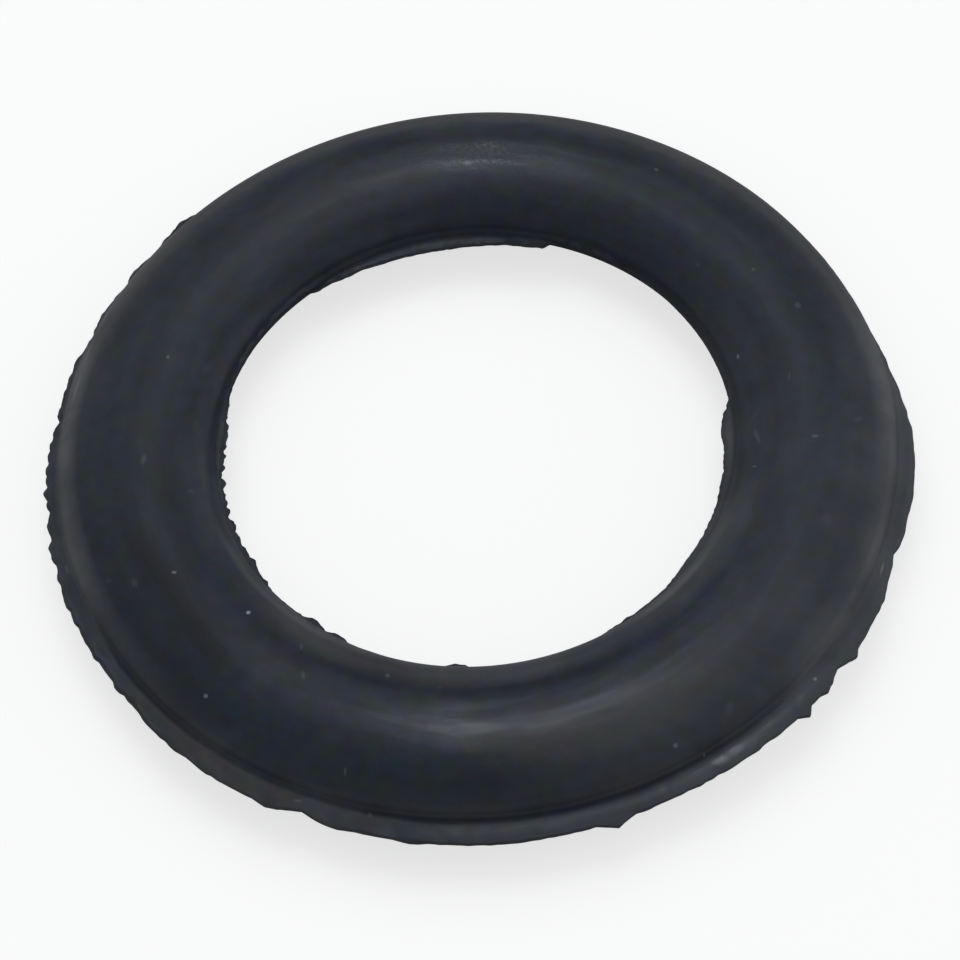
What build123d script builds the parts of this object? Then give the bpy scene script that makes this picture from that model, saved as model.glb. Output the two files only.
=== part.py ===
from build123d import *
import math
import os
import random

# A soft rubber ring that grips the hand wheel and drives a bobbin winder.
# It is one moulded piece: a flattened round section swept about Z, with the thin
# flash of the two mould halves left standing along its parting line.
# The origin is the ring's centre at half its height, and the parting line is at z = 0.
# Millimetres and degrees. Angles run anticlockwise from +X, seen from above.

# The ring's body
outer_diameter = 31.75
hole_diameter = 19.80
ring_height = 3.175
crown_land = 0.60           # width of the narrow flat along the top and the underside
edge_radius = 1.10          # of the section where it is widest, at the rim and in the hole

# The flash, where the mould halves met
flash_thickness = 0.20
flash_least = 0.05          # what stands proud where it was trimmed close
outline_points = 360

# Where the flash was trimmed outside: angle, and how far it stands out there
outer_trim = [
    (0, 0.48), (5, 0.30), (12, 0.12), (20, 0.06), (128, 0.06), (131, 0.33), (135, 0.29),
    (138, 0.10), (141, 0.25), (144, 0.25), (145.5, 0.13), (147.5, 0.29), (153.5, 0.33),
    (155, 0.20), (160, 0.36), (168, 0.44), (175, 0.53), (185, 0.63), (200, 0.73),
    (216, 0.74), (222, 0.90), (235, 0.94), (250, 0.92), (268, 1.01), (290, 0.94),
    (318, 0.98), (327, 0.88), (333, 0.66), (340, 0.73), (346, 0.80), (354, 0.74), (357, 0.61),
]
# Nicks (negative) and torn points (positive) outside: angle, half their span, height
outer_tears = [
    (169.5, 1.0, -0.13), (181.0, 1.2, 0.07), (183.8, 1.3, -0.12), (189.5, 1.2, 0.07),
    (238.5, 2.0, 0.10), (243.0, 3.0, -0.22), (248.0, 2.0, 0.05), (257.0, 2.2, 0.09),
    (282.0, 2.6, 0.27), (309.3, 1.3, 0.30), (313.2, 1.0, 0.13), (316.6, 2.1, -0.21),
    (319.4, 1.0, 0.14), (335.0, 1.6, -0.12),
]
# The same for the flash inside the hole, measured inwards from its wall
inner_trim = [
    (0, 0.39), (2, 0.20), (4.5, 0.05), (64, 0.05), (66.5, 0.14), (68.5, 0.42), (73, 0.49),
    (92, 0.58), (105, 0.53), (115, 0.44), (124, 0.28), (128, 0.06), (157, 0.05),
    (160, 0.14), (165, 0.25), (170, 0.44), (173, 0.38), (179, 0.35), (181.5, 0.20),
    (206, 0.20), (217.5, 0.05), (224, 0.12), (226.5, 0.26), (229.5, 0.20), (231, 0.07),
    (233, 0.20), (235, 0.18), (237.5, 0.05), (258, 0.05), (260.5, 0.24), (262.5, 0.22),
    (264, 0.05), (290, 0.06), (299, 0.22), (310, 0.20), (320, 0.31), (333, 0.32),
    (340, 0.38), (350, 0.43), (355, 0.53), (358, 0.48),
]
inner_tears = [
    (184.0, 1.6, 0.09), (191.2, 1.1, 0.05), (195.6, 1.5, 0.09), (206.2, 1.4, 0.08),
    (212.4, 1.3, 0.08), (216.0, 1.0, -0.04), (345.0, 1.5, -0.03),
]
# Fine tearing: it is coarse on the left, from the first angle to the second
ragged_from = 128
ragged_to = 220
ragged_coarse = 0.055
ragged_fine = 0.014
ragged_spacing = 1.5        # degrees from one small tooth to the next

# Worked out from the sizes above
centre_radius = (outer_diameter + hole_diameter) / 4
half_width = (outer_diameter - hole_diameter) / 4
half_height = ring_height / 2
# the wide arc from the crown's flat meets the small arc of the edge on one tangent
crown_run = half_width - edge_radius - crown_land / 2
crown_rise = half_height - edge_radius
crown_radius = (crown_run**2 + half_height**2 - edge_radius**2) / (2 * crown_rise)
lean = math.atan2(crown_run, crown_radius - half_height)
meeting_point = (
    centre_radius + half_width - edge_radius + edge_radius * math.sin(lean),
    edge_radius * math.cos(lean),
)


def trimmed_width(trim, angle):
    """The width at an angle, eased from each trimmed point to the next round the ring."""
    around = trim + [(trim[0][0] + 360, trim[0][1])]
    for (start, low), (end, high) in zip(around, around[1:]):
        if start <= angle <= end:
            share = (angle - start) / (end - start)
            return low + (high - low) * (1 - math.cos(math.pi * share)) / 2
    return trim[0][1]


def torn(tears, angle):
    """What the nicks and torn points add at an angle: each is a straight-sided tooth."""
    total = 0
    for centre, half_span, height in tears:
        total += height * max(0, 1 - abs(angle - centre) / half_span)
    return total


def ragged_teeth(seed):
    """One random height, from -1 to 1, for each small tooth round the ring."""
    chance = random.Random(seed)
    return [chance.uniform(-1, 1) for _ in range(round(360 / ragged_spacing))]


def flash_width(trim, tears, teeth, angle):
    """How far the flash stands out at an angle, with its tears and small teeth."""
    place = angle / 360 * len(teeth)
    tooth = int(place)
    share = place - tooth
    height = teeth[tooth % len(teeth)] * (1 - share) + teeth[(tooth + 1) % len(teeth)] * share
    depth = ragged_coarse if ragged_from < angle < ragged_to else ragged_fine
    width = trimmed_width(trim, angle)
    width += torn(tears, angle) + height * min(depth, width / 3)
    return max(flash_least, width)


def flash_outline(radius, way, trim, tears, teeth):
    """Points along one edge of the flash: way is 1 for the rim and -1 for the hole."""
    points = []
    for step in range(outline_points):
        angle = step * 360 / outline_points
        reach = radius + way * flash_width(trim, tears, teeth, angle)
        turn = math.radians(angle)
        points.append((reach * math.cos(turn), reach * math.sin(turn)))
    return points


rim_points = flash_outline(outer_diameter / 2, 1, outer_trim, outer_tears, ragged_teeth(3))
hole_points = flash_outline(hole_diameter / 2, -1, inner_trim, inner_tears, ragged_teeth(8))

with BuildPart() as rubber_ring:
    # the section is an oval of tangent arcs, turned once about Z
    with BuildSketch(Plane.XZ) as section:
        with BuildLine():
            Line((centre_radius, half_height), (centre_radius + crown_land / 2, half_height))
            TangentArc((centre_radius + crown_land / 2, half_height), meeting_point, tangent=(1, 0))
            TangentArc((centre_radius + half_width, 0), meeting_point, tangent=(0, 1))
            mirror(about=Plane.YZ.offset(centre_radius))
            mirror(about=Plane.XZ)
        make_face()
    revolve(axis=Axis.Z)

    # the flash is a thin sheet at half height, torn along both of its edges
    with BuildSketch(Plane.XY.offset(-flash_thickness / 2)) as flash:
        Polygon(*rim_points, align=None)
        Polygon(*hole_points, align=None, mode=Mode.SUBTRACT)
    extrude(amount=flash_thickness)

rubber_ring.part.label = "rubber_ring"
os.makedirs("parts", exist_ok=True)
export_step(rubber_ring.part, "parts/rubber_ring.step")
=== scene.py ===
import math
import random

import bpy
import numpy as np
from mathutils import Matrix, Vector


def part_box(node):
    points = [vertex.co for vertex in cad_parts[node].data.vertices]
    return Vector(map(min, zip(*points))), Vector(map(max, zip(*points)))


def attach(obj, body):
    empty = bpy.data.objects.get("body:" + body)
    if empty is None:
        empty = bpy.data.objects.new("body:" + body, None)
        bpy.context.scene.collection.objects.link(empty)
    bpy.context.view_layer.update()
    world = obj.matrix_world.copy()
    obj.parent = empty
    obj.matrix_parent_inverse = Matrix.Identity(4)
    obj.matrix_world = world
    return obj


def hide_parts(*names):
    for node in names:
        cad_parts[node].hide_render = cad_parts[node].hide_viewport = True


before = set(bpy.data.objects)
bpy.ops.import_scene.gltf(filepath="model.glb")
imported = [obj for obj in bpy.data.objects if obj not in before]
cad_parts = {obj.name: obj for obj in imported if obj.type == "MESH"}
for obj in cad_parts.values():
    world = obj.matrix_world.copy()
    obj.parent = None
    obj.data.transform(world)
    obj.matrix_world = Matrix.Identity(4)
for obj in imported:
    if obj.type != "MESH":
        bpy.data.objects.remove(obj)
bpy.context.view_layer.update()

# ---------------------------------------------------------------------------------------
# The ring. One moulding of soft black rubber: an oval section carried once round Z, and at
# half its height the thin flash that the two halves of the mould left, at the rim and in the
# hole. The flash was trimmed by hand and is torn on one side. It is cured in one piece.
# ---------------------------------------------------------------------------------------
mm = 0.001                      # the mesh is worked out in millimetres, and in degrees
                                # anticlockwise from +X: the near side is about 270

ring_low, ring_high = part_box("rubber_ring")
half_height = (ring_high.z - ring_low.z) / 2 / mm
rim_radius = 15.875
hole_radius = 9.900
half_width = (rim_radius - hole_radius) / 2
centre_radius = (rim_radius + hole_radius) / 2
crown_shift = 0.04              # how far outside the section's middle the crown stands

flash_half_thickness = 0.10
flash_lip = 0.035               # half the thickness left at its torn edge
flash_least = 0.05              # how far it stands out where it was trimmed close
tooth_count, knob_count = 420, 260
knob_sink = 0.8                 # the share of a knob's height that lies inside the trimmed edge

# Where the flash was trimmed at the rim: angle, and how far it stands out there
rim_trim = [
    (0, 0.48), (5, 0.30), (12, 0.12), (20, 0.06), (128, 0.06), (131, 0.33), (135, 0.29),
    (138, 0.10), (141, 0.25), (144, 0.25), (145.5, 0.13), (147.5, 0.29), (153.5, 0.33),
    (155, 0.20), (160, 0.36), (168, 0.44), (175, 0.53), (185, 0.63), (200, 0.73),
    (216, 0.74), (222, 0.90), (235, 0.94), (250, 0.92), (268, 1.01), (290, 0.94),
    (318, 0.98), (327, 0.88), (333, 0.66), (340, 0.73), (346, 0.79), (354, 0.72), (357, 0.60),
]
# Nicks (negative) and torn points (positive) there: angle, half their span, height
rim_tears = [
    (169.5, 1.0, -0.13), (181.0, 1.2, 0.07), (183.8, 1.3, -0.12), (189.5, 1.2, 0.07),
    (238.5, 2.0, 0.10), (243.0, 3.0, -0.22), (248.0, 2.0, 0.05), (257.0, 2.2, 0.09),
    (282.0, 2.6, 0.27), (309.3, 1.3, 0.30), (313.2, 1.0, 0.13), (316.6, 2.1, -0.21),
    (319.4, 1.0, 0.14), (335.0, 1.6, -0.12),
]
# The same for the flash inside the hole, measured inwards from its wall
hole_trim = [
    (0, 0.39), (2, 0.20), (4.5, 0.05), (64, 0.05), (66.5, 0.14), (68.5, 0.42), (73, 0.49),
    (92, 0.58), (105, 0.53), (115, 0.44), (124, 0.28), (128, 0.06), (157, 0.05),
    (160, 0.14), (165, 0.25), (170, 0.44), (173, 0.38), (179, 0.35), (181.5, 0.20),
    (206, 0.20), (217.5, 0.05), (224, 0.12), (226.5, 0.26), (229.5, 0.20), (231, 0.07),
    (233, 0.20), (235, 0.18), (237.5, 0.05), (258, 0.05), (260.5, 0.24), (262.5, 0.22),
    (264, 0.05), (290, 0.06), (299, 0.22), (310, 0.20), (320, 0.31), (333, 0.32),
    (340, 0.38), (350, 0.43), (355, 0.53), (358, 0.48),
]
hole_tears = [
    (184.0, 1.6, 0.09), (191.2, 1.1, 0.05), (195.6, 1.5, 0.09), (206.2, 1.4, 0.08),
    (212.4, 1.3, 0.08), (216.0, 1.0, -0.04), (345.0, 1.5, -0.03),
]
# How wide a strip of the flash slopes down to its edge, where the trimming blade leaned
rim_bevel = [(0, 0.08), (120, 0.05), (160, 0.14), (215, 0.12), (228, 0.02), (320, 0.02),
             (345, 0.08)]
hole_bevel = [(0, 0.08), (60, 0.02), (130, 0.02), (180, 0.12), (240, 0.10)]
# How far the flash's edge stands above (or droops below) half height
rim_droop = [(0, -0.05), (30, 0.0), (150, 0.0), (190, 0.04), (214, -0.03), (240, 0.0),
             (262, -0.02), (282, 0.0), (296, 0.05), (306, 0.03), (313, 0.0), (335, -0.06),
             (348, -0.03)]
hole_droop = [(0, -0.05), (70, 0.02), (95, -0.05), (125, 0.03), (200, 0.05), (300, -0.03)]

# Its foot on the body: how far the corner is filled, how deep a gutter runs beside the body,
# and how high the flash swells towards it instead, where it was trimmed thick
rim_blend = [(0, 1.0), (14, 0.5), (30, 0.25), (135, 0.30), (160, 1.0), (195, 0.9), (204, 0.3),
             (212, 0.03), (300, 0.03), (316, 0.60), (328, 1.0)]
rim_gutter = [(0, 0.0), (204, 0.0), (210, 0.06), (218, 0.05), (230, 0.025), (246, 0.025),
              (260, 0.07), (290, 0.07), (304, 0.05), (314, 0.0)]
rim_swell = [(0, 0.34), (14, 0.20), (30, 0.05), (140, 0.05), (160, 0.24), (194, 0.24),
             (208, 0.0), (306, 0.0), (318, 0.20), (330, 0.30), (345, 0.34)]
hole_blend = [(0, 0.50), (58, 0.40), (66, 0.03), (122, 0.03), (130, 0.50)]
hole_gutter = [(0, 0.0), (60, 0.0), (70, 0.07), (118, 0.07), (128, 0.0)]
hole_swell = [(0, 0.12), (20, 0.0), (140, 0.0), (165, 0.10), (215, 0.10), (320, 0.10)]
gutter_width, swell_width = 0.24, 0.62
under_blend = 0.12              # underneath, the corner is plain all round

# Fine tearing: how deep its teeth are, and how far small knobs stand out on the left
tooth_depth = [(0, 0.010), (126, 0.010), (130, 0.035), (198, 0.055), (228, 0.055), (236, 0.012),
               (278, 0.012), (284, 0.040), (300, 0.040), (306, 0.025), (346, 0.025), (352, 0.010)]
knob_height = [(0, 0.0), (126, 0.0), (130, 0.06), (150, 0.09), (192, 0.08), (202, 0.03),
               (212, 0.0)]

columns = 1440                  # steps round the ring
top_rows, bottom_rows = 18, 8   # steps over the body
join = 0.79 * half_width        # where the flash's part of the section ends on the body's wall
angle = np.arange(columns) * 360 / columns


def eased(points, angle):
    """The value at each angle: a half cosine from each (angle, value) point to the next,
    closed round 360 degrees."""
    at, value = np.array(points + [(points[0][0] + 360, points[0][1])], float).T
    after = np.clip(np.searchsorted(at, angle, side="right"), 1, len(at) - 1)
    share = (angle - at[after - 1]) / (at[after] - at[after - 1])
    return value[after - 1] + (value[after] - value[after - 1]) * (1 - np.cos(np.pi * share)) / 2


def torn(tears, angle):
    """What nicks and torn points add at each angle: the sum of straight-sided teeth, each
    its height at its centre and nothing half a span away."""
    centre, half_span, height = np.array(tears)[:, :, None].transpose(1, 0, 2)
    return (height * np.clip(1 - abs(angle - centre) / half_span, 0, None)).sum(0)


def teeth(seed, count, angle):
    """Small random teeth round the ring: seeded heights from -1 to 1 at count even angles,
    joined by straight lines."""
    chance = random.Random(seed)
    heights = [chance.uniform(-1, 1) for _ in range(count)]
    return np.interp(angle / 360 * count, range(count + 1), heights + heights[:1])


def knobs(seed, count, angle):
    """Small round knobs round the ring, each the top of a circle: seeded centres, half spans
    and heights, and the tallest counts at each angle. It is 0 between them and 1 at most."""
    chance = np.random.default_rng(seed)
    centre = np.sort(chance.uniform(0, 360, count))[:, None]
    half_span = chance.uniform(0.45, 1.3, count)[:, None]
    height = chance.uniform(0.35, 1.0, count)[:, None]
    away = abs((angle - centre + 180) % 360 - 180) / half_span
    return (height * np.sqrt(np.clip(1 - away ** 2, 0, None))).max(0)


def flash_width(trim, tears, tooth_seed, knob_seed, angle):
    """How far the flash stands out at each angle: its trimmed width, plus its tears, plus small
    teeth and round knobs that go no deeper than a third of it."""
    width = eased(trim, angle)
    deep = np.minimum(eased(tooth_depth, angle), width / 3)
    tall = np.minimum(eased(knob_height, angle), width / 3)
    width = width + torn(tears, angle) + teeth(tooth_seed, tooth_count, angle) * deep
    width = width + (knobs(knob_seed, knob_count, angle) - knob_sink) * tall
    return np.maximum(flash_least, width)


bevel_share, swell_share = 0.40, 0.50   # the most of the flash's width that each takes
lip_run = 0.3 * flash_lip       # how far the middle of the torn edge stands past its corners
swell_power = 1.6               # how hollow the swelling is
fall = 3                        # how steeply the oval is carried on down outside its wall
foot_gap = 0.01                 # how far outside the wall the rows over the face end
beside_bevel = 0.03             # the share of the face at which a row keeps the bevel crisp
crowding = 1.5                  # the power by which rows crowd towards the foot


def flash_face(width, bevel, blend, gutter, swell, bevel_rows, flat_rows, wall_rows):
    """Half of the flash's section and the body's wall above it, from the flash's edge in to
    the join, as rows of (distance out from the section's centre, height). The lip and the
    sloping bevel come first. Then it is the higher of two curves, the oval, which falls in a
    straight slope outside its wall, and the flash's face. The corner between them is filled by
    blend / 4 where they are level, and by less until they are blend apart. The face sinks to
    the gutter's depth in a straight slope beside the body, and rises by the swell in a power
    curve."""
    bevel = np.minimum(bevel, bevel_share * width)
    swell = np.minimum(swell, swell_share * width)
    edge = half_width + width
    share = np.linspace(0, 1, bevel_rows + 1)[:, None]
    bevel_out = edge - lip_run - (bevel - lip_run) * share
    bevel_up = flash_lip + (flash_half_thickness - flash_lip) * share + 0 * width
    inwards = 1 - (1 - np.linspace(0, 1, flat_rows + 1)[1:, None]) ** crowding
    inwards = np.concatenate([[[beside_bevel]], inwards])
    onto_wall = np.linspace(0, 1, wall_rows + 1)[1:, None] ** crowding
    foot = half_width + foot_gap
    out = np.concatenate([edge - bevel + (foot - edge + bevel) * inwards,
                          foot + (join - foot) * onto_wall + 0 * width])
    away = out - half_width
    sunk = gutter * np.clip(1 - away / gutter_width, 0, 1)
    swollen = swell * np.clip(1 - away / swell_width, 0, 1) ** swell_power
    face = flash_half_thickness - sunk + swollen
    oval = half_height * np.sqrt(np.clip(1 - (out / half_width) ** 2, 0, None))
    oval = oval - fall * np.clip(away, 0, None)
    level = np.clip(1 - abs(oval - face) / blend, 0, 1)
    up = np.maximum(oval, face) + level ** 2 * blend / 4
    return np.concatenate([bevel_out, out]), np.concatenate([bevel_up, up])


def body_arc(start_height, end_height, rows):
    """The oval from its wall at one height over the crown to its other wall at another, in
    even steps of the oval's own angle, without its two ends."""
    start = np.arcsin(start_height / half_height)
    end = np.pi - np.arcsin(end_height / half_height)
    turn = start + (end - start) * (np.arange(1, rows) / rows)[:, None]
    return half_width * np.cos(turn), half_height * np.sin(turn)


rim_width = flash_width(rim_trim, rim_tears, 3, 23, angle)
hole_width = flash_width(hole_trim, hole_tears, 8, 28, angle)
nothing = 0 * angle
under_foot = nothing + under_blend, nothing, nothing
rim_slope, hole_slope = eased(rim_bevel, angle), eased(hole_bevel, angle)
rim_foot = eased(rim_blend, angle), eased(rim_gutter, angle), eased(rim_swell, angle)
hole_foot = eased(hole_blend, angle), eased(hole_gutter, angle), eased(hole_swell, angle)

# The section's outline, anticlockwise from the flash's edge at the rim, over the top, to its
# edge in the hole and back underneath. Each part is a block of rows, one column per angle: so
# many over the bevel, the flash's face and the wall, and over the body.
rim_top = flash_face(rim_width, rim_slope, *rim_foot, 3, 8, 5)
rim_under = flash_face(rim_width, rim_slope, *under_foot, 1, 2, 2)
hole_top = flash_face(hole_width, hole_slope, *hole_foot, 2, 4, 4)
hole_under = flash_face(hole_width, hole_slope, *under_foot, 1, 1, 2)
over = body_arc(rim_top[1][-1], hole_top[1][-1], top_rows)
under = body_arc(hole_under[1][-1], rim_under[1][-1], bottom_rows)
edge_out = half_width + rim_width[None, :]
edge_in = half_width + hole_width[None, :]
outward = np.concatenate([
    edge_out, rim_top[0], over[0], -hole_top[0][::-1],
    -edge_in, -hole_under[0], -under[0], rim_under[0][::-1]])
upward = np.concatenate([
    0 * edge_out, rim_top[1], over[1], hole_top[1][::-1],
    0 * edge_in, -hole_under[1], -under[1], -rim_under[1][::-1]])

# the crown stands a little outside the middle of the section
on_body = np.clip(1 - (outward / half_width) ** 2, 0, None) * (upward > 0)
outward = outward + crown_shift * on_body

# the flash isn't quite flat: it droops and lifts towards its edges, and has low lumps, which
# are random heights made smooth along the ring and then across it
lump_height, lump_columns = 0.040, 4
past_rim = np.clip((outward - half_width) / rim_width, 0, 1)
past_hole = np.clip((-outward - half_width) / hole_width, 0, 1)
lumps = np.random.default_rng(5).normal(0, lump_height, (len(outward), columns // lump_columns))
lumps = np.repeat(lumps, lump_columns, 1)
for step in (1, 2, 2):
    lumps = (lumps + np.roll(lumps, step, 1) + np.roll(lumps, -step, 1)) / 3
for _ in range(2):
    lumps = (lumps * 2 + np.roll(lumps, 1, 0) + np.roll(lumps, -1, 0)) / 4
upward = upward + past_rim * (eased(rim_droop, angle) + lumps)
upward = upward + past_hole * (eased(hole_droop, angle) + lumps)

reach = centre_radius + outward
turn = np.radians(angle)
points = np.stack([
    np.clip(reach * np.cos(turn), ring_low.x / mm, ring_high.x / mm),
    np.clip(reach * np.sin(turn), ring_low.y / mm, ring_high.y / mm), upward], -1)


def closed_grid(name, points):
    """A mesh of four-sided faces over a grid of points that closes on itself both ways, its
    rows round the section and its columns round the ring, with its faces outward."""
    rows, columns = points.shape[:2]
    index = np.arange(rows * columns).reshape(rows, columns)
    here, across = index, np.roll(index, -1, 1)
    above, corner = np.roll(index, -1, 0), np.roll(np.roll(index, -1, 0), -1, 1)
    faces = np.stack([here, across, corner, above], -1).reshape(-1, 4)
    mesh = bpy.data.meshes.new(name)
    mesh.vertices.add(rows * columns)
    mesh.vertices.foreach_set("co", (points * mm).astype(np.float32).ravel())
    mesh.loops.add(faces.size)
    mesh.loops.foreach_set("vertex_index", faces.astype(np.int32).ravel())
    mesh.polygons.add(len(faces))
    mesh.polygons.foreach_set("loop_start", np.arange(0, faces.size, 4, dtype=np.int32))
    mesh.polygons.foreach_set("use_smooth", np.ones(len(faces), bool))
    mesh.update(calc_edges=True)
    mesh.validate()
    piece = bpy.data.objects.new(name, mesh)
    bpy.context.scene.collection.objects.link(piece)
    return piece


def marked(piece, name, values):
    """Stores one number for each vertex of a piece, for its material to read."""
    values = np.asarray(values, np.float32).ravel()
    piece.data.attributes.new(name, "FLOAT", "POINT").data.foreach_set("value", values)


ring = closed_grid("ring_moulding", points)
on_top = upward > -flash_half_thickness / 2

# The finish lies in strips along the top: how far out from the middle of the section each
# starts, is full from and to, and ends, and how strong it is round the ring. These are rubbed
# smoother
rubbed_strips = [
    ((-1.20, -0.40, 0.40, 1.20), [      # the crown
        (0, 0.0), (58, 0.0), (72, 1.6), (86, 2.2), (98, 0.7), (112, 0.2), (142, 0.0),
        (243, 0.0), (254, 1.1), (262, 2.2), (271, 1.2), (290, 1.0), (304, 0.6), (322, 0.0)]),
    ((3.32, 3.44, 3.56, 3.68), [        # the flash at the rim
        (0, 0.0), (254, 0.0), (265, 0.8), (273, 0.8), (283, 0.3), (292, 0.9), (301, 4.0),
        (309, 0.5), (320, 0.2), (340, 0.0)]),
]
# Painted light: pale bands where the walls and the flash catch light at a grazing angle or face
# up into it, painted light that lifts the shade in the corner at the wall's foot, and a painted
# highlight line along the hole's wall
painted_light_strips = [
    ((2.15, 2.70, 3.02, 3.10), [        # the outer wall
        (0, 0.88), (8, 0.60), (15, 0.30), (30, 0.10), (60, 0.12), (128, 0.12), (138, 0.50),
        (150, 0.50), (165, 1.10), (180, 0.80), (195, 0.55), (207, 0.32), (225, 0.17), (240, 0.10),
        (270, 0.10), (290, 0.13), (300, 0.18), (315, 0.30), (330, 0.34), (345, 0.32)]),
    # the next two strips are painted light that lifts the shade in the corner at the wall's foot
    ((2.80, 2.88, 2.94, 2.99), [        # its foot on the near side
        (0, 0.0), (150, 0.10), (180, 0.20), (195, 0.50), (210, 0.40), (222, 0.40),
        (240, 0.45), (256, 0.32), (285, 0.32), (300, 0.30), (312, 0.0)]),
    ((2.80, 2.88, 3.00, 3.06), [        # its foot on the right
        (0, 0.25), (20, 0.0), (296, 0.0), (312, 0.45), (330, 0.60), (345, 0.45)]),
    ((3.02, 3.10, 5.00, 5.10), [        # the flash at the rim
        (0, 0.40), (60, 0.12), (128, 0.12), (138, 0.30), (155, 0.10), (165, 0.0), (180, 0.22),
        (195, 0.22), (210, 0.12), (240, 0.05), (255, 0.02), (270, 0.06), (285, 0.06),
        (300, 0.25), (315, 0.30), (330, 0.45), (345, 0.30)]),
    ((0.00, 0.60, 2.10, 2.70), [        # the outer slope
        (0, 0.02), (15, 0.0), (30, 0.04), (70, 0.03), (110, 0.04), (140, 0.07), (165, 0.08),
        (180, 0.05), (195, 0.0), (265, 0.0), (280, 0.16), (292, 0.16), (306, 0.13), (320, 0.12),
        (335, 0.10), (348, 0.08)]),
    ((0.90, 1.40, 2.40, 2.90), [        # the outer shoulder
        (0, 0.16), (12, 0.16), (30, 0.10), (48, 0.10), (65, 0.04), (120, 0.04), (140, 0.06),
        (170, 0.04), (200, 0.0), (275, 0.0), (300, 0.06), (325, 0.08), (345, 0.14)]),
    ((-2.20, -1.70, -0.70, -0.20), [    # the slope towards the hole
        (0, 0.10), (14, 0.06), (28, 0.0), (300, 0.0), (318, 0.06), (332, 0.10), (346, 0.15)]),
    ((-3.10, -3.02, -2.00, -1.40), [    # the hole's wall
        (0, 0.15), (15, 0.10), (30, 0.0), (165, 0.0), (185, 0.12), (210, 0.20), (230, 0.25),
        (250, 0.24), (270, 0.24), (295, 0.25), (310, 0.30), (330, 0.34), (350, 0.22)]),
    # the next strip is a painted highlight
    ((-2.80, -2.68, -2.58, -2.40), [    # a thin line along the middle of that wall
        (0, 0.0), (195, 0.0), (207, 0.80), (225, 0.35), (238, 0.15), (246, 0.0), (296, 0.0),
        (306, 0.85), (314, 0.85), (324, 0.30), (340, 0.0)]),
    ((-5.10, -5.00, -3.10, -3.02), [    # the flash in the hole
        (0, 0.35), (20, 0.20), (60, 0.0), (70, 0.12), (118, 0.12), (126, 0.0), (165, 0.10),
        (225, 0.10), (260, 0.20), (300, 0.20), (325, 0.40), (345, 0.50)]),
]
# Brownish tints, the first three a painted warm reflection and highlight, the last two only a
# tint; places where the black turns greenish; and a darker patch on the near left crown
brown_strips = [
    # painted warm reflection along the far outer wall, where it catches light at a grazing angle
    ((1.60, 2.10, 3.20, 3.30), [
        (0, 0.20), (20, 0.60), (45, 1.0), (145, 0.90), (165, 0.30), (180, 0.0), (345, 0.0)]),
    # painted warm highlight on the near outer slope, where the near crown's gleam spreads
    ((0.20, 0.60, 1.40, 1.90), [
        (0, 0.0), (260, 0.0), (276, 1.0), (290, 0.90), (305, 0.50), (320, 0.15), (335, 0.0)]),
    # painted warm reflection on the near slope towards the hole, where it catches light at a
    # grazing angle
    ((-2.70, -2.40, -1.70, -1.30), [
        (0, 0.0), (212, 0.0), (230, 0.90), (258, 0.90), (272, 0.20), (300, 0.0)]),
    # a brownish tint on the flash at the near left, and on the far left crown
    ((3.05, 3.15, 5.00, 5.10), [(0, 0.0), (200, 0.0), (225, 0.80), (248, 0.60), (262, 0.0)]),
    ((-1.60, -1.00, 1.00, 1.50), [(0, 0.0), (86, 0.0), (102, 0.30), (130, 0.30), (148, 0.0)]),
]
green_strips = [
    ((-1.30, -0.90, 1.00, 1.60), [
        (0, 0.60), (15, 0.70), (50, 1.0), (72, 0.80), (84, 0.0), (340, 0.0), (350, 0.20)]),
    ((0.60, 1.40, 2.80, 3.00), [
        (0, 0.0), (215, 0.0), (228, 0.80), (255, 0.80), (275, 0.30), (290, 0.0)]),
    ((-2.60, -1.80, 1.60, 2.40), [(0, 0.0), (122, 0.0), (145, 0.40), (200, 0.40), (225, 0.0)]),
]
darkened_patch_strips = [
    ((-1.40, -0.40, 0.80, 1.80), [
        (0, 0.0), (150, 0.0), (175, 0.25), (190, 0.5), (205, 1.0), (215, 1.0), (228, 0.0)]),
]


def spread(strips):
    """How strong a finish is at each point: the sum of its strips, each its strength round the
    ring times a band with straight flanks across it. The underside has none."""
    return sum(eased(strength, angle) * np.interp(outward, across, (0, 1, 1, 0))
               for across, strength in strips) * on_top


marked(ring, "flash", np.clip(np.maximum(past_rim, past_hole), 0, 1))
marked(ring, "polish", spread(rubbed_strips))
marked(ring, "painted_light", spread(painted_light_strips))
marked(ring, "brown", spread(brown_strips))
marked(ring, "green", spread(green_strips))
marked(ring, "darkened_patch", spread(darkened_patch_strips))

# the gutters beside the body are duller, the most where they are this deep or deeper
dull_depth = 0.06
gutters = np.where(outward > 0, eased(rim_gutter, angle), eased(hole_gutter, angle))
at_foot = np.interp(abs(outward), (2.938, 3.008, 3.092, 3.162), (0, 1, 1, 0)) * on_top
marked(ring, "crevice", np.clip(gutters / dull_depth, 0, 1) * at_foot)


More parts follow.
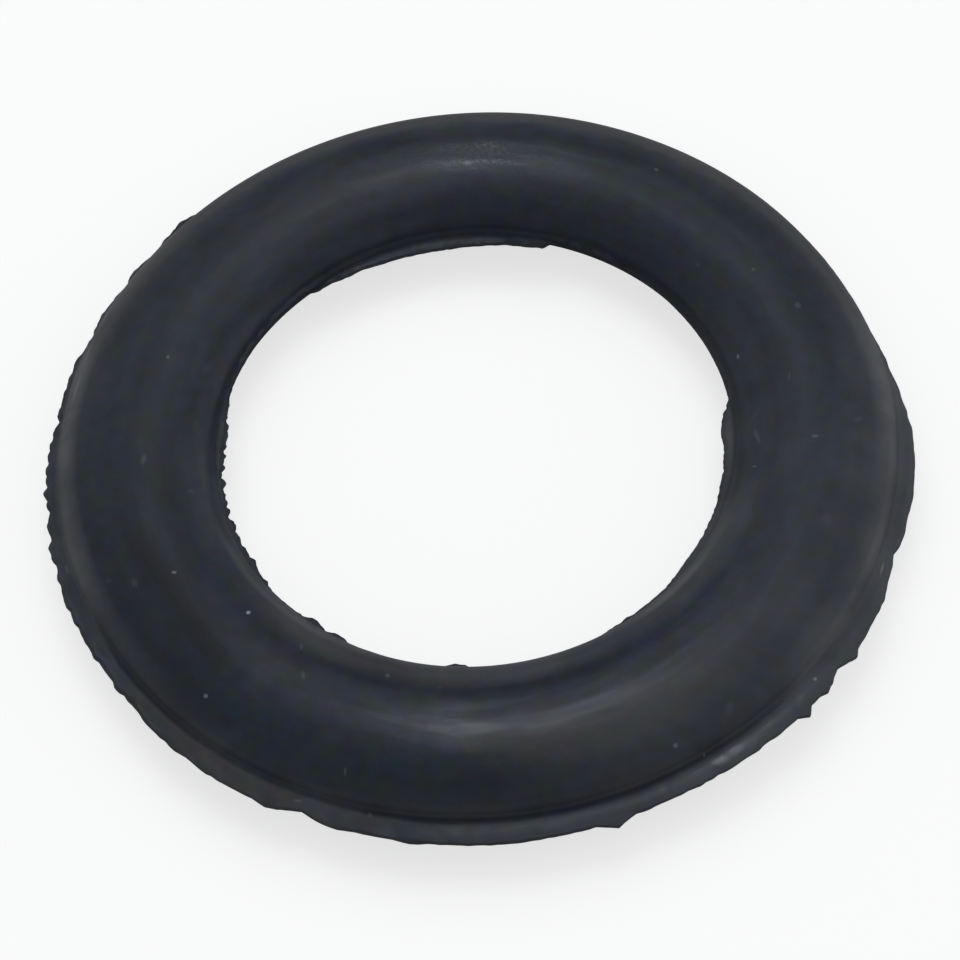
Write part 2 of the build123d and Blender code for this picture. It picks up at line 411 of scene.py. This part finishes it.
class Value:
    """A number in a material, which + - * and / turn into Math nodes. One without a socket only
    adds nodes to its tree."""

    def __init__(self, tree, socket):
        self.tree, self.socket = tree, socket

    def node(self, kind, settings, inputs, output=0):
        """Adds a node of a type: settings are set first, then each input, by its name or
        number, gets a value or a link. It gives back one of the node's outputs."""
        node = self.tree.nodes.new(kind)
        for name, setting in settings.items():
            setattr(node, name, setting)
        for name, given in inputs.items():
            if isinstance(given, Value):
                self.tree.links.new(given.socket, node.inputs[name])
            else:
                node.inputs[name].default_value = given
        return Value(self.tree, node.outputs[output])

    def maths(self, operation, *given):
        """A Math node of an operation on the given numbers and values."""
        return self.node("ShaderNodeMath", {"operation": operation}, dict(enumerate(given)))

    def __add__(self, other):
        return self.maths("ADD", self, other)

    def __sub__(self, other):
        return self.maths("SUBTRACT", self, other)

    def __rsub__(self, other):
        return self.maths("SUBTRACT", other, self)

    def __mul__(self, other):
        return self.maths("MULTIPLY", self, other)

    def __truediv__(self, other):
        return self.maths("DIVIDE", self, other)

    def __rtruediv__(self, other):
        return self.maths("DIVIDE", other, self)

    __radd__, __rmul__ = __add__, __mul__

    def ramp(self, low, high):
        """0 up to low and 1 from high on, with a smooth rise between them."""
        return self.node("ShaderNodeMapRange", {"interpolation_type": "SMOOTHSTEP"},
                         {"Value": self, "From Min": low, "From Max": high})

    def blend(self, first, second):
        """A colour: the first where this is 0, the second where it is 1."""
        return self.node("ShaderNodeMix", {"data_type": "RGBA"},
                         {"Factor": self, 6: first, 7: second}, 2)


rubber = bpy.data.materials.new("moulded_black_rubber")
rubber.use_nodes = True
shader = rubber.node_tree.nodes["Principled BSDF"]
nodes = Value(rubber.node_tree, None)
place = nodes.node("ShaderNodeTexCoord", {}, {}, "Object")
place = nodes.node("ShaderNodeVectorMath", {"operation": "SCALE"}, {0: place, "Scale": 1 / mm})


def stored(name):
    """The number that the mesh carries under a name."""
    return nodes.node("ShaderNodeAttribute", {"attribute_name": name}, {}, "Fac")


def noise(vector, scale, detail=2.0, roughness=0.5):
    """Even random mottling about 0.5, its features about 1 / scale millimetres across."""
    return nodes.node("ShaderNodeTexNoise", {}, {
        "Vector": vector, "Scale": scale, "Detail": detail, "Roughness": roughness})


flash, polish, painted_light_mask = stored("flash"), stored("polish"), stored("painted_light")
brownish, greenish = stored("brown"), stored("green")
darkened_patch, crevice = stored("darkened_patch"), stored("crevice")

# Flow lines of the moulding run along the ring: mottling that is long round it and fine
# across it, from the direction out of the axis and the distance from it
east = nodes.node("ShaderNodeSeparateXYZ", {}, {0: place}, "X")
north = nodes.node("ShaderNodeSeparateXYZ", {}, {0: place}, "Y")
height = nodes.node("ShaderNodeSeparateXYZ", {}, {0: place}, "Z")
radius = nodes.maths("SQRT", east * east + north * north)
round_it, across_it, over_it = 5.0, 2.6, 2.0
flow = nodes.node("ShaderNodeCombineXYZ", {}, {
    0: east / radius * round_it, 1: north / radius * round_it,
    2: radius * across_it + height * over_it})
flow_lines = noise(flow, 1.0, 4.0, 0.6)
clouds = noise(flow, 0.5)
patches = noise(place, 0.35, 3.0)
swell = noise(place, 0.9, 1.0)
fine_grain = noise(place, 9.0, 3.0)

deep = (0.0105, 0.0148, 0.0275, 1)      # the black itself, and with a little bloom on it
bloom = (0.0138, 0.0182, 0.0300, 1)
bare = (0.0004, 0.0014, 0.0040, 1)      # where it is wiped clean, and in the darker patch on the near left crown
brown = (0.0190, 0.0170, 0.0160, 1)
green = (0.0070, 0.0180, 0.0260, 1)
# the pale in which light and reflection are painted
painted_light = (0.0940, 0.0955, 0.0980, 1)
dust_and_highlight_pale = (0.280, 0.295, 0.315, 1)

# No two places have quite the same hue: red, green and blue each vary by their own mottling,
# times a span and up from a least share
hue_scale, hue_span, hue_least = 1.6, (2.4, 1.8, 2.4), (-0.20, 0.10, -0.20)
hues = nodes.node("ShaderNodeTexNoise", {}, {
    "Vector": place, "Scale": hue_scale, "Detail": 3.0}, "Color")
hues = nodes.node("ShaderNodeVectorMath", {"operation": "MULTIPLY_ADD"}, {
    0: hues, 1: hue_span, 2: hue_least})

# How much of each shows where it is full, and how unevenly the painted light lies: from its least
# share, by so much more in patches. The flash's edge takes some of the painted light too
brown_share, green_share, darkened_patch_share, wiped_share = 0.80, 0.60, 0.55, 0.30
painted_light_least, painted_light_span, edge_share = 0.60, 0.80, 0.30
colour = patches.ramp(0.35, 0.70).blend(deep, bloom)
colour = (brownish * brown_share).blend(colour, brown)
colour = (greenish * green_share).blend(colour, green)
colour = nodes.node("ShaderNodeVectorMath", {"operation": "MULTIPLY"}, {0: colour, 1: hues})
wiped = (1 - clouds.ramp(0.38, 0.58)) * wiped_share
colour = (darkened_patch * darkened_patch_share + wiped).blend(colour, bare)
colour = (painted_light_mask * (painted_light_least + patches.ramp(0.30, 0.70) * painted_light_span)).blend(colour, painted_light)
colour = (flash.ramp(0.93, 1.0) * edge_share).blend(colour, painted_light)

# Dust grains and short scuffs on the top, and at the end four strokes of painted highlight along
# the outer wall on the left: angle round the ring, distance out from the middle of the section,
# half length and half width, the turn out of the ring's own direction, and how pale it is. Each
# is full within speck_full of its half sizes and gone at speck_gone
speck_full, speck_gone, speck_half_depth = 0.30, 1.15, 0.5
marks = [
    (52.6, 0.84, 0.11, 0.08, 0, 0.26), (52.1, 0.62, 0.22, 0.06, 60, 0.04),
    (15.5, 0.48, 0.17, 0.14, 0, 0.12), (25.6, -0.20, 0.10, 0.09, 0, 0.15),
    (10.5, -2.36, 0.12, 0.06, 15, 0.42), (33.4, -1.65, 0.12, 0.08, 0, 0.07),
    (2.0, -0.80, 0.34, 0.06, 18, 0.06), (85.7, -0.60, 0.22, 0.17, 15, 0.18),
    (158.8, -0.68, 0.09, 0.08, 0, 0.32), (158.0, -2.19, 0.50, 0.15, 12, 0.04),
    (224.5, 1.94, 0.11, 0.09, 0, 0.50), (204.8, -0.24, 0.11, 0.08, -55, 0.46),
    (219.2, -1.45, 0.11, 0.09, 75, 1.00), (247.4, 2.22, 0.18, 0.06, 80, 0.16),
    (235.4, -0.53, 0.20, 0.08, 54, 0.11), (231.6, -1.58, 0.19, 0.07, 52, 0.11),
    (248.9, -1.73, 0.13, 0.10, 48, 0.20), (258.8, -1.52, 0.12, 0.10, 0, 0.06),
    (203.0, 1.21, 0.24, 0.14, 10, 0.08), (200.2, 1.97, 0.16, 0.09, -48, 0.06),
    (180.9, -0.43, 0.26, 0.13, 13, 0.12), (188.4, -1.99, 0.14, 0.09, 85, 0.07),
    (193.8, 3.23, 0.26, 0.07, 0, 0.20), (242.1, 3.39, 0.17, 0.07, -20, 0.18),
    (251.5, 3.19, 0.12, 0.09, 48, 0.14), (292.4, 2.51, 0.11, 0.09, 0, 0.36),
    (295.6, 3.02, 0.08, 0.05, -50, 0.30), (301.2, 2.40, 0.33, 0.18, -35, 0.05),
    (313.5, 3.41, 0.09, 0.08, 0, 0.60), (332.1, 3.34, 0.34, 0.06, -5, 0.34),
    (334.2, 0.98, 0.32, 0.26, -40, 0.04), (349.0, -0.04, 0.16, 0.10, 73, 0.18),
    (353.0, 1.58, 0.28, 0.10, 53, 0.08), (342.8, -2.16, 0.13, 0.05, -75, 0.26),
    (350.1, -2.19, 0.46, 0.09, -18, 0.11), (355.2, -2.26, 0.40, 0.11, 35, 0.04),
    # the last four are a painted highlight line along the outer wall on the left
    (147.0, 2.88, 0.60, 0.06, 0, 0.14), (152.5, 2.80, 0.70, 0.07, -2, 0.24),
    (159.0, 2.74, 0.70, 0.07, 0, 0.20), (165.5, 2.68, 0.80, 0.08, 2, 0.24),
]


def speck(around, across, half_length, half_wide, lean, pale):
    """One grain, scuff or stroke of painted highlight: its paleness within an ellipse that lies
    on the body's oval, which fades out smoothly. The distance from its middle is measured in its
    own half sizes."""
    bearing = math.radians(around)
    from_axis = centre_radius + across
    lift = half_height * math.sqrt(max(0, 1 - (across / half_width) ** 2))
    inside = nodes.node("ShaderNodeMapping", {"vector_type": "TEXTURE"}, {
        "Vector": place,
        "Location": (from_axis * math.cos(bearing), from_axis * math.sin(bearing), lift),
        "Rotation": (0, 0, bearing + math.radians(90 - lean)),
        "Scale": (half_length, half_wide, speck_half_depth)})
    away = nodes.node("ShaderNodeVectorMath", {"operation": "LENGTH"}, {0: inside}, "Value")
    return nodes.node("ShaderNodeMapRange", {"interpolation_type": "SMOOTHSTEP"}, {
        "Value": away, "From Min": speck_full, "From Max": speck_gone,
        "To Min": pale, "To Max": 0.0})


dust_and_highlight = speck(*marks[0])
for mark in marks[1:]:
    dust_and_highlight = dust_and_highlight.maths("MAXIMUM", dust_and_highlight, speck(*mark))
colour = dust_and_highlight.blend(colour, dust_and_highlight_pale)
rubber.node_tree.links.new(colour.socket, shader.inputs["Base Color"])

# the bands of painted light and the gutters are the dullest, and the flash is a little duller
# than the body
smoothest = 0.285
roughness = smoothest + flow_lines * 0.05 + patches * 0.05
roughness = roughness + flash * 0.05 + painted_light_mask * 0.15 + crevice * 0.5
rubber.node_tree.links.new(roughness.socket, shader.inputs["Roughness"])
shader.inputs["Specular IOR Level"].default_value = 0.5

# the rubbed places gleam: a thin smoother skin over the rest, in streaks along the ring,
# which the fine grain breaks up on the far side, towards +Y
broken = north.ramp(-6, 6) * (1 - fine_grain.ramp(0.40, 0.60) * 1.3)
gleam = polish * (0.22 + flow_lines.ramp(0.36, 0.68) * (1 - broken) * 0.42)
rubber.node_tree.links.new(gleam.socket, shader.inputs["Coat Weight"])
shader.inputs["Coat Roughness"].default_value = 0.19

# the face isn't quite smooth: how high its swells, flow lines and grain stand, in millimetres
relief = swell * 0.026 + flow_lines * 0.004 + fine_grain * 0.0024
bump = nodes.node("ShaderNodeBump", {}, {"Height": relief * mm, "Distance": 1.0, "Strength": 1.0})
rubber.node_tree.links.new(bump.socket, shader.inputs["Normal"])

ring.data.materials.append(rubber)
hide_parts("rubber_ring")
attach(ring, "root")

# ---------------------------------------------------------------------------------------
# The table top. A plain white matt board, which the ring lies on by the middle of its
# underside. It isn't part of the ring.
# ---------------------------------------------------------------------------------------
board_half_side = 1.2
board_colour = (0.410, 0.400, 0.391, 1)
board_glow = 0.70               # what it gives off to the camera alone, so that it shows white
board_mesh = bpy.data.meshes.new("white_board")
board_mesh.from_pydata(
    [(x * board_half_side, y * board_half_side, ring_low.z)
     for x, y in ((-1, -1), (1, -1), (1, 1), (-1, 1))], [], [(0, 1, 2, 3)])
board = bpy.data.objects.new("white_board", board_mesh)
bpy.context.scene.collection.objects.link(board)

matt = bpy.data.materials.new("white_board")
matt.use_nodes = True
matt_shader = matt.node_tree.nodes["Principled BSDF"]
matt_shader.inputs["Base Color"].default_value = board_colour
matt_shader.inputs["Roughness"].default_value = 0.9
matt_shader.inputs["Specular IOR Level"].default_value = 0.0
matt_shader.inputs["Emission Color"].default_value = (1, 1, 1, 1)
seen = Value(matt.node_tree, None).node("ShaderNodeLightPath", {}, {}, "Is Camera Ray")
matt.node_tree.links.new((seen * board_glow).socket, matt_shader.inputs["Emission Strength"])
board_mesh.materials.append(matt)

# ---------------------------------------------------------------------------------------
# The light. A small soft window high behind the ring makes the gleam along its crown, pale
# walls and a ceiling stand round it, most of them on its right, and a broad light is overhead.
# ---------------------------------------------------------------------------------------
room = bpy.data.worlds.new("pale_room")
bpy.context.scene.world = room
room.use_nodes = True
background = room.node_tree.nodes["Background"]
air = Value(room.node_tree, None)
seen = air.node("ShaderNodeLightPath", {}, {}, "Is Camera Ray")
air_colour = seen.blend((0.95, 0.99, 1.06, 1), (1, 1, 1, 1))
room.node_tree.links.new(air_colour.socket, background.inputs["Color"])

# Behind the ring the room is brighter low down and dimmer half way up. The camera sees it white
room_level = 0.30
sky = air.node("ShaderNodeTexCoord", {}, {}, "Generated")
above = air.node("ShaderNodeSeparateXYZ", {}, {0: sky}, "Z")
behind = air.node("ShaderNodeSeparateXYZ", {}, {0: sky}, "Y")
low_glow = (1 - above.ramp(0.0, 0.22)) * behind.ramp(-0.4, 0.3) * 0.60
half_way = above.ramp(0.15, 0.30) * (1 - above.ramp(0.55, 0.70))
dimmed = half_way * behind.ramp(0.1, 0.4) * 0.15
shine = room_level + low_glow - dimmed
shine = shine + seen * (1 - shine)
room.node_tree.links.new(shine.socket, background.inputs["Strength"])


def soft_light(name, azimuth, elevation, width, tall, radiance, tint, distance=0.80):
    """A rectangular lamp that faces the ring's centre from an azimuth and elevation in degrees,
    of a given radiance: the power of an area lamp is its radiance times pi times its area."""
    lamp = bpy.data.lights.new(name, "AREA")
    lamp.shape = "RECTANGLE"
    lamp.size, lamp.size_y = width, tall
    lamp.energy = radiance * math.pi * width * tall
    lamp.color = tint
    light = bpy.data.objects.new(name, lamp)
    around, above = math.radians(azimuth), math.radians(elevation)
    towards = Vector((math.cos(around) * math.cos(above), math.sin(around) * math.cos(above),
                      math.sin(above)))
    light.location = towards * distance
    light.rotation_euler = towards.to_track_quat("Z", "Y").to_euler()
    bpy.context.scene.collection.objects.link(light)
    return light


# each by its azimuth and elevation, its width and height in metres, its radiance and its tint
white = (0.96, 1.0, 1.03)
day = (0.93, 0.98, 1.04)
soft_light("window", 88, 65, 0.062, 0.150, 3.40, day)
soft_light("window_side", 78, 71, 0.130, 0.160, 0.55, day)
soft_light("ceiling", 60, 82, 0.36, 0.20, 0.55, white)
soft_light("back_shelf", 94, 48, 0.40, 0.13, 0.50, white)
soft_light("right_high", 48, 54, 0.36, 0.50, 0.28, white)
soft_light("right_top", 0, 66, 0.44, 0.44, 0.27, white)
soft_light("right_wall", 15, 27, 1.00, 0.34, 0.36, white)
soft_light("right_low", 5, 8, 1.30, 0.28, 0.25, white)
soft_light("left_high", 142, 50, 0.40, 0.40, 0.14, white)
soft_light("left_wall", 150, 25, 0.90, 0.36, 0.16, white)
soft_light("front_right", -45, 30, 0.90, 0.60, 0.14, white)
overhead = soft_light("overhead", 90, 50, 0.90, 0.90, 1.47, white, 1.00)
overhead.visible_glossy = False         # it lights the ring and doesn't shine in it

# ---------------------------------------------------------------------------------------
# The camera, held in the hand in front of the ring and above it, and tilted a little.
# ---------------------------------------------------------------------------------------
camera_elevation, camera_roll = math.radians(57.4), math.radians(6.27)
camera_distance = 111.0 * mm
# how far the ring's centre is to the right of the camera's axis, and above it
ring_in_view = (-0.202 * mm, 1.464 * mm)

level = Vector((1, 0, 0))
upright = Vector((0, math.sin(camera_elevation), math.cos(camera_elevation)))
back = Vector((0, -math.cos(camera_elevation), math.sin(camera_elevation)))
right = level * math.cos(camera_roll) - upright * math.sin(camera_roll)
up = level * math.sin(camera_roll) + upright * math.cos(camera_roll)
eye = back * camera_distance - right * ring_in_view[0] - up * ring_in_view[1]

lens = bpy.data.cameras.new("camera")
lens.sensor_width = 36
lens.lens = 109.2
lens.clip_start = 0.005
camera = bpy.data.objects.new("camera", lens)
camera.matrix_world = Matrix.Translation(eye) @ Matrix((right, up, back)).transposed().to_4x4()
bpy.context.scene.collection.objects.link(camera)
bpy.context.scene.camera = camera

bpy.context.scene.view_settings.view_transform = "Standard"
